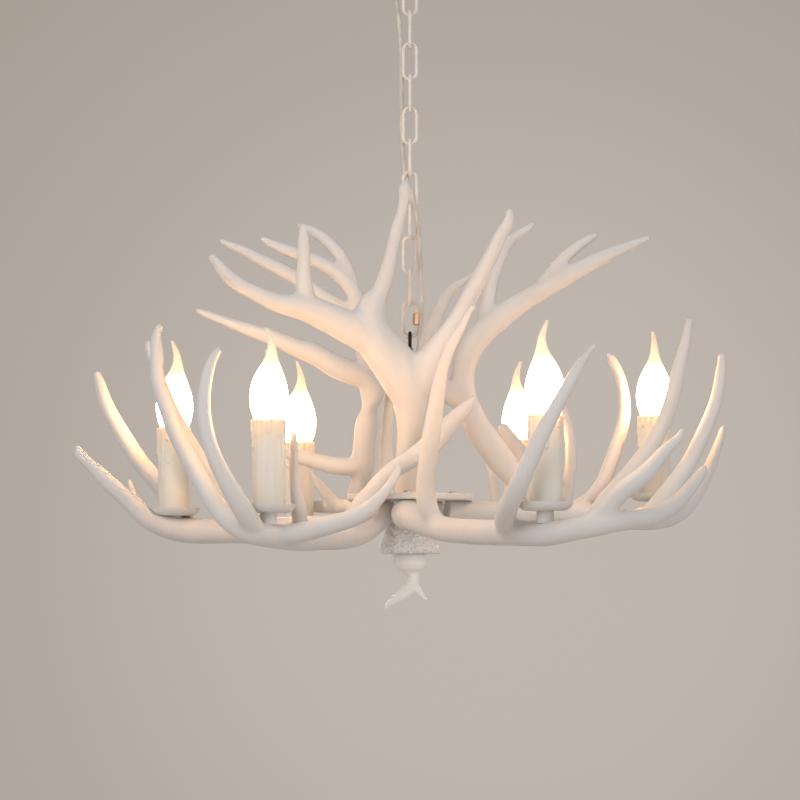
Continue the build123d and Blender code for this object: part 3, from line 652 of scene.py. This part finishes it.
def wax_run(angle, below, at, length, broad, phase):
    """Height of one run of wax at each point, 0 to about 1, with a drop at its end."""
    drift = at + RUN_SWAY * np.sin(below / length * 2.5 + phase)
    apart = np.abs((angle - drift + math.pi) % (2 * math.pi) - math.pi) * TUBE_RADIUS
    drop = np.exp(-((below - length) / (broad * 0.9)) ** 2)
    run = np.clip((length - below) / RUN_FADE, 0, 1)
    grown = broad * (0.42 + 0.25 * drop + 0.35 * np.exp(-below / RUN_ROOT))
    shape = np.exp(-(apart / grown) ** 2)
    return shape * np.maximum(0.62 * run, 1.15 * drop)


def melt(mesh, box, width, height, seed):
    """Runs of wax down the outside of a candle tube, each with a drop at its end, and a soft rim."""
    low, high = box
    centre = (low + high) / 2
    points = read_points(mesh)
    outer = points - np.array([centre.x, centre.y, 0.0])
    outer[:, 2] = 0
    radius = np.linalg.norm(outer, axis=1)
    side = outer / np.maximum(radius, 1e-6)[:, None]
    angle = np.arctan2(outer[:, 1], outer[:, 0])
    below = high.z - points[:, 2]
    lift = np.zeros(len(points))
    chance = random.Random(seed + 3)
    turn = chance.uniform(0, 2 * math.pi)
    for i in range(RUN_COUNT):
        at = turn + 2 * math.pi * (i + chance.uniform(-0.35, 0.35)) / RUN_COUNT
        length = chance.choice(RUN_LENGTHS)
        broad = width * chance.uniform(0.75, 1.15)
        lift = np.maximum(lift, wax_run(angle, below, at, length, broad, i))
    rim = np.exp(-(below / RIM_DEPTH) ** 2) * (0.75 + 0.25 * np.sin(angle * 5 + seed))
    lift = np.maximum(lift, 0.55 * rim) * height
    lift *= np.clip((radius - OUTSIDE_FROM) / OUTSIDE_FADE, 0, 1)
    write_points(mesh, points + side * lift[:, None])


def join_rings(shape, rings):
    """Faces between each ring of points and the next."""
    for lower, upper in zip(rings, rings[1:]):
        for k in range(len(lower)):
            after = (k + 1) % len(lower)
            shape.faces.new((lower[k], lower[after], upper[after], upper[k]))


def finished_mesh(name, shape):
    """Mesh of a drawn shape, which is freed."""
    mesh = bpy.data.meshes.new(name)
    shape.to_mesh(mesh)
    shape.free()
    return mesh


def ring_tube(name, path, radius):
    """Round tube with closed ends along a path of points."""
    shape = bmesh.new()
    rings = []
    side = Vector((0.2, 0.9, 0.1))  # any way that isn't along the path's start
    for i, point in enumerate(path):
        ahead = path[min(i + 1, len(path) - 1)]
        behind = path[max(i - 1, 0)]
        along = (ahead - behind).normalized()
        side = (side - along * side.dot(along)).normalized()
        cross = along.cross(side)
        ring = []
        for k in range(CORD_SIDES):
            angle = 2 * math.pi * k / CORD_SIDES
            out = side * math.cos(angle) + cross * math.sin(angle)
            ring.append(shape.verts.new(point + out * radius))
        rings.append(ring)
    join_rings(shape, rings)
    shape.faces.new(list(reversed(rings[0])))
    shape.faces.new(rings[-1])
    shape.normal_update()
    return finished_mesh(name, shape)


def sleeve_nut(name, box):
    """Turned hexagonal sleeve nut: bevelled corners at both ends and a bore that opens there."""
    low, high = box
    middle = (low + high) / 2
    width, depth, length = high - low
    flats = min(width, depth) / 2
    corner = max(width, depth) / 2
    first = 0.0 if width > depth else HALF_SIDE
    outside = list(NUT_OUTSIDE) + [(length - z, share) for z, share in reversed(NUT_OUTSIDE)]
    inside = [(length - z, gap) for z, gap in NUT_INSIDE] + list(reversed(NUT_INSIDE))
    shape = bmesh.new()
    rings = []
    for k, (z, value) in enumerate(outside + inside):
        ring = []
        for i in range(NUT_STEPS):
            turn = 2 * math.pi * i / NUT_STEPS
            off = (turn - first + HALF_SIDE) % (2 * HALF_SIDE) - HALF_SIDE
            hexagon = min(corner, flats / math.cos(HALF_SIDE - abs(off)))
            reach = min(hexagon, flats * value) if k < len(outside) else NUT_BORE + value
            ring.append(shape.verts.new((middle.x + reach * math.cos(turn),
                                         middle.y + reach * math.sin(turn), low.z + z)))
        rings.append(ring)
    join_rings(shape, rings + rings[:1])
    shape.normal_update()
    return finished_mesh(name, shape)


def route_points():
    """Points along the cord's curve, from the cover down."""
    curve = bpy.data.curves.new("cord_route", "CURVE")
    curve.dimensions = "3D"
    spline = curve.splines.new("NURBS")
    spline.points.add(len(CORD_ROUTE) - 1)
    for point, place in zip(spline.points, CORD_ROUTE):
        point.co = (*place, 1.0)
    spline.order_u = 3
    spline.use_endpoint_u = True
    spline.resolution_u = 24
    route = placed("cord_route", curve)
    graph = bpy.context.evaluated_depsgraph_get()
    line = bpy.data.meshes.new_from_object(route.evaluated_get(graph))
    points = [v.co.copy() for v in line.vertices]
    bpy.data.objects.remove(route)
    bpy.data.meshes.remove(line)
    return points


def cut_point(points, height):
    """Where the line crosses a height, or else its nearer end."""
    for a, b in zip(points, points[1:]):
        if (a.z - height) * (b.z - height) <= 0 and a.z != b.z:
            return a.lerp(b, (a.z - height) / (a.z - b.z))
    if abs(points[0].z - height) < abs(points[-1].z - height):
        return points[0].copy()
    return points[-1].copy()


def backdrop_mesh(datum):
    """Floor that bends up into a wall."""
    floor = datum - FLOOR_BELOW_CAMERA
    bend = WALL_Y - BEND_RADIUS
    profile = [(-HALF_WIDTH, floor), (bend, floor)]
    for i in range(1, BEND_STEPS + 1):
        a = math.pi / 2 * i / BEND_STEPS
        y = bend + BEND_RADIUS * math.sin(a)
        z = floor + BEND_RADIUS - BEND_RADIUS * math.cos(a)
        profile.append((y, z))
    profile.append((WALL_Y, floor + HALF_WIDTH))
    shape = bmesh.new()
    rows = []
    for y, z in profile:
        rows.append([shape.verts.new((x, y, z)) for x in (-HALF_WIDTH, HALF_WIDTH)])
    for a, b in zip(rows, rows[1:]):
        shape.faces.new((a[0], a[1], b[1], b[0]))
    return finished_mesh("backdrop", shape)


def add_lamp(name, kind, place, aim, power, colour):
    """Lamp at a place that looks at another."""
    data = bpy.data.lights.new(name, kind)
    data.energy = power
    data.color = colour
    lamp = placed(name, data)
    lamp.location = place
    point_at(lamp, aim)
    return lamp


def settings_of(context):
    """The chandelier's settings in this scene."""
    return context.scene.chandelier


# ------------------------------------------------------------------ operators
class CHANDELIER_OT_antlers(bpy.types.Operator):
    """Cast resin antlers with rounded forks and faint swells"""

    bl_idname = "chandelier.antlers"
    bl_label = "Antlers"

    def execute(self, context):
        """Makes one piece for each antler, and the finial."""
        s = settings_of(context).antlers
        material = antler_resin("antler_resin", tuple(s.colour))
        for seed, name in enumerate(ANTLERS):
            mesh = remeshed(name + "_cast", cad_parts[name], coarser(s.voxel))
            relax(mesh, 6)
            fill_forks(mesh, s.fillet_passes // (1))
            relax(mesh, 3)
            swell(mesh, s.wave, WAVE_SCALE, (1, 1, 0.6), seed)
            swell(mesh, s.groove, GROOVE_SCALE, (1, 1, 0.18), seed + 20)
            piece = mesh_object(name + "_cast", mesh, material, FIXTURE)
            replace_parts(piece, name)
        mesh = remeshed("finial_cast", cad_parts["finial"], FINIAL_VOXEL)
        relax(mesh, 4)
        fill_forks(mesh, 40)
        swell(mesh, FINIAL_WAVE, FINIAL_WAVE_SCALE, (1, 1, 0.5), 31)
        # The finial's resin is a 1.36 times lighter copy of the antler resin: partly its own whiter
        # finish and partly painted light for the light it lacks from below.
        cast = antler_resin("finial_resin_painted_light", shade(tuple(s.colour), 1.36))
        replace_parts(mesh_object("finial_cast", mesh, cast, FIXTURE), "finial")
        return {"FINISHED"}


class CHANDELIER_OT_hub(bpy.types.Operator):
    """Stucco cone, painted plate and column"""

    bl_idname = "chandelier.hub"
    bl_label = "Hub"

    def execute(self, context):
        """Makes the stucco cone and finishes the metal."""
        s = settings_of(context).hub
        mesh = remeshed("cone_stucco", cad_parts["hub_cone"], CONE_VOXEL)
        swell(mesh, s.grain, 0.0032, (1, 1, 1), 40)
        swell(mesh, s.grain * 0.6, 0.0014, (1, 1, 1), 41)
        piece = mesh_object("cone_stucco", mesh, stucco(tuple(s.colour)), FIXTURE)
        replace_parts(piece, "hub_cone")
        paint = mottled("cream_paint", tuple(s.paint), 40.0, 0.06, 0.42, 700.0, 0.0003)
        dress(("hub_disc", "hub_column"), paint)
        dress(("hub_loop",), metal("loop_iron", (0.05, 0.038, 0.03), 0.42, 700.0))
        dress(("antler_screws",), metal("screw_steel", (0.55, 0.54, 0.52), 0.35, 900.0))
        return {"FINISHED"}


class CHANDELIER_OT_chain(bpy.types.Operator):
    """Painted chain, screw link and ceiling fitting"""

    bl_idname = "chandelier.chain"
    bl_label = "Chain and ceiling fitting"

    def execute(self, context):
        """Finishes the chain and what hangs it, and makes the sleeve nut."""
        s = settings_of(context).hub
        paint = mottled("chain_paint", tint(tuple(s.paint), 1.10, 1.09, 1.08), 120.0, 0.12, 0.36,
                        900.0, 0.0003, specular=0.5)
        dress(CHAIN + ("quick_link", "ceiling_loop"), paint)
        cover = mottled("cover_paint", shade(tuple(s.paint), 1.04), 25.0, 0.05, 0.4, 600.0, 0.0002)
        dress(("canopy", "canopy_nuts"), cover)
        mesh = sleeve_nut("link_nut_turned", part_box("quick_link_nut"))
        brass = metal("nut_brass", (0.70, 0.52, 0.39), 0.36, 700.0)
        nut = mesh_object("link_nut_turned", mesh, brass, "link_nut")
        mesh.set_sharp_from_angle(angle=math.radians(24))
        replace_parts(nut, "quick_link_nut")
        zinc = metal("zinc_steel", (0.58, 0.575, 0.56), 0.34, 500.0)
        dress(("ceiling_crossbar", "hanger_stem", "stem_nuts"), zinc)
        grip = mottled("grip_plastic", (0.74, 0.70, 0.64), 60.0, 0.04, 0.35, 800.0, 0.0002)
        dress(("cord_grip",), grip)
        return {"FINISHED"}


class CHANDELIER_OT_candles(bpy.types.Operator):
    """Candle tubes with melted rims, drip dishes and lampholders"""

    bl_idname = "chandelier.candles"
    bl_label = "Candles"

    def execute(self, context):
        """Makes the wax tubes and finishes the dishes and lampholders."""
        s = settings_of(context).candles
        wax = candle_wax(tuple(s.colour))
        for seed, side in enumerate(SIDES):
            node = "candle_sleeve_" + side
            mesh = remeshed("wax_" + side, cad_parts[node], coarser(s.voxel))
            relax(mesh, 2)
            melt(mesh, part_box(node), s.drip_width, s.drip_height, seed)
            swell(mesh, WAX_WAVE, WAX_WAVE_SCALE, (1, 1, 0.35), seed + 50)
            piece = mesh_object("wax_" + side, mesh, wax, FIXTURE)
            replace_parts(piece, node)
        dish = mottled("dish_enamel", tuple(s.dish), 60.0, 0.05, 0.38, 600.0, 0.0002, specular=0.5)
        dress(["candle_cup_" + side for side in SIDES], dish)
        holder = mottled("holder_plastic", (0.80, 0.79, 0.76), 60.0, 0.03, 0.45, 700.0, 0.0002)
        dress(("lampholders",), holder)
        return {"FINISHED"}


class CHANDELIER_OT_bulbs(bpy.types.Operator):
    """Lit flame bulbs with screw caps"""

    bl_idname = "chandelier.bulbs"
    bl_label = "Bulbs"

    def execute(self, context):
        """Finishes the glowing glass and the caps."""
        s = settings_of(context).bulbs
        dress(["bulb_glass_" + side for side in SIDES], lit_glass(s))
        cap = metal("cap_nickel", (0.66, 0.65, 0.62), 0.3, 900.0)
        dress(["bulb_cap_" + side for side in SIDES], cap)
        return {"FINISHED"}


class CHANDELIER_OT_cord(bpy.types.Operator):
    """Supply cord from the ceiling cover, once through the chain and into the column"""

    bl_idname = "chandelier.cord"
    bl_label = "Supply cord"

    def execute(self, context):
        """Makes the cord in one stretch for each joint that it crosses."""
        points = route_points()
        sheath = cord_sheath()
        for name, top, foot, upper, lower, start, end in CORD_STRETCHES:
            path = [cut_point(points, top)]
            path += [p for p in points if foot + 1e-5 < p.z < top - 1e-5]
            path.append(cut_point(points, foot))
            mesh = ring_tube(name, path, CORD_RADIUS)
            piece = mesh_object(name, mesh, sheath, None)
            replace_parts(piece, "supply_cord")
            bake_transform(piece)
        return {"FINISHED"}


class CHANDELIER_OT_stage(bpy.types.Operator):
    """Pale backdrop, soft lamps and the camera"""

    bl_idname = "chandelier.stage"
    bl_label = "Stage"

    def execute(self, context):
        """Builds what surrounds the light."""
        s = settings_of(context).stage
        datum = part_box("hub_cone")[0].z - CONE_ABOVE_CAMERA
        self.backdrop(s, datum)
        self.world(context, s)
        self.lamps(s, datum)
        self.camera(context, s, datum)
        context.scene.view_settings.view_transform = "Standard"
        return {"FINISHED"}

    def backdrop(self, s, datum):
        """Floor that curves up into a wall behind the light."""
        mesh = backdrop_mesh(datum)
        shade_smooth(mesh)
        floor = placed("backdrop", mesh)
        mesh.materials.append(backdrop_paper(tuple(s.backdrop), datum))

    def world(self, context, s):
        """Even cool light from all round, which the camera sees in the backdrop's colour."""
        world = bpy.data.worlds.new("studio")
        world.use_nodes = True
        context.scene.world = world
        nodes, links = world.node_tree.nodes, world.node_tree.links
        sky = nodes["Background"]
        sky.inputs["Color"].default_value = (0.92, 0.95, 1.0, 1)
        sky.inputs["Strength"].default_value = s.ambient
        seen = nodes.new("ShaderNodeBackground")
        seen.inputs["Color"].default_value = (*s.backdrop, 1)
        mix_into(nodes, links, seen_rays(nodes, links), sky.outputs["Background"],
                 seen.outputs["Background"], nodes["World Output"].inputs["Surface"])

    def lamps(self, s, datum):
        """Large soft lamp at the upper left front, a weak one at the right and a warm spot."""
        for name, (x, y, up), size, power, colour in (
            ("key", (-1.6, -2.6, 1.5), 2.2, s.key_power, (1.0, 0.98, 0.95)),
            ("fill", (2.2, -1.8, 0.1), 2.0, s.key_power * 0.35, (0.95, 0.97, 1.0)),
        ):
            lamp = add_lamp(name, "AREA", (x, y, datum + up), (0, 0, datum + 0.2), power, colour)
            lamp.data.shape = "DISK"
            lamp.data.size = size
        glow = add_lamp("candle_glow", "SPOT", (0.0, -1.8, datum + 0.12), (0, 0, datum + 0.36),
                        s.glow_power, (1.0, 0.70, 0.46))
        glow.data.spot_size = math.radians(19)
        glow.data.spot_blend = 0.9
        glow.data.shadow_soft_size = 0.12
        glow.visible_camera = False

    def camera(self, context, s, datum):
        """Camera of the photograph, level with the datum and tilted up."""
        lens = bpy.data.cameras.new("camera")
        lens.sensor_width = SENSOR_WIDTH
        lens.lens = SENSOR_WIDTH * FOCAL_PIXELS / PICTURE_PIXELS
        camera = placed("camera", lens)
        camera.location = (0.0, -s.distance, datum)
        right = AIM_RIGHT_PIXELS / FOCAL_PIXELS * s.distance
        rise = AIM_UP_PIXELS / FOCAL_PIXELS * s.distance
        point_at(camera, (right, 0.0, datum + rise))
        context.scene.camera = camera


class CHANDELIER_PT_panel(bpy.types.Panel):
    """Lists the chandelier's pieces."""

    bl_label = "Antler Chandelier"
    bl_idname = "CHANDELIER_PT_panel"
    bl_space_type = "VIEW_3D"
    bl_region_type = "UI"
    bl_category = "Chandelier"

    def draw(self, context):
        """Draws the settings and the buttons."""
        settings = settings_of(context)
        for part, operator in PANEL_ROWS:
            box = self.layout.box()
            group = getattr(settings, part) if part else None
            if group:
                for key in group.__annotations__:
                    box.prop(group, key)
            box.operator(operator)


PANEL_ROWS = (
    ("antlers", "chandelier.antlers"), ("hub", "chandelier.hub"), (None, "chandelier.chain"),
    ("candles", "chandelier.candles"), ("bulbs", "chandelier.bulbs"), (None, "chandelier.cord"),
    ("stage", "chandelier.stage"),
)
CLASSES = (
    AntlerSettings, HubSettings, CandleSettings, BulbSettings, StageSettings, ChandelierSettings,
    CHANDELIER_OT_antlers, CHANDELIER_OT_hub, CHANDELIER_OT_chain, CHANDELIER_OT_candles,
    CHANDELIER_OT_bulbs, CHANDELIER_OT_cord, CHANDELIER_OT_stage, CHANDELIER_PT_panel,
)


def register():
    """Registers the classes and the scene's settings."""
    for cls in CLASSES:
        bpy.utils.register_class(cls)
    bpy.types.Scene.chandelier = PointerProperty(type=ChandelierSettings)


def unregister():
    """Removes what register added."""
    del bpy.types.Scene.chandelier
    for cls in reversed(CLASSES):
        bpy.utils.unregister_class(cls)


def main():
    """Builds the whole scene."""
    register()
    bpy.ops.chandelier.stage()
    bpy.ops.chandelier.cord()
    bpy.ops.chandelier.chain()
    bpy.ops.chandelier.hub()
    bpy.ops.chandelier.antlers()
    bpy.ops.chandelier.candles()
    bpy.ops.chandelier.bulbs()


if __name__ == "__main__":
    main()
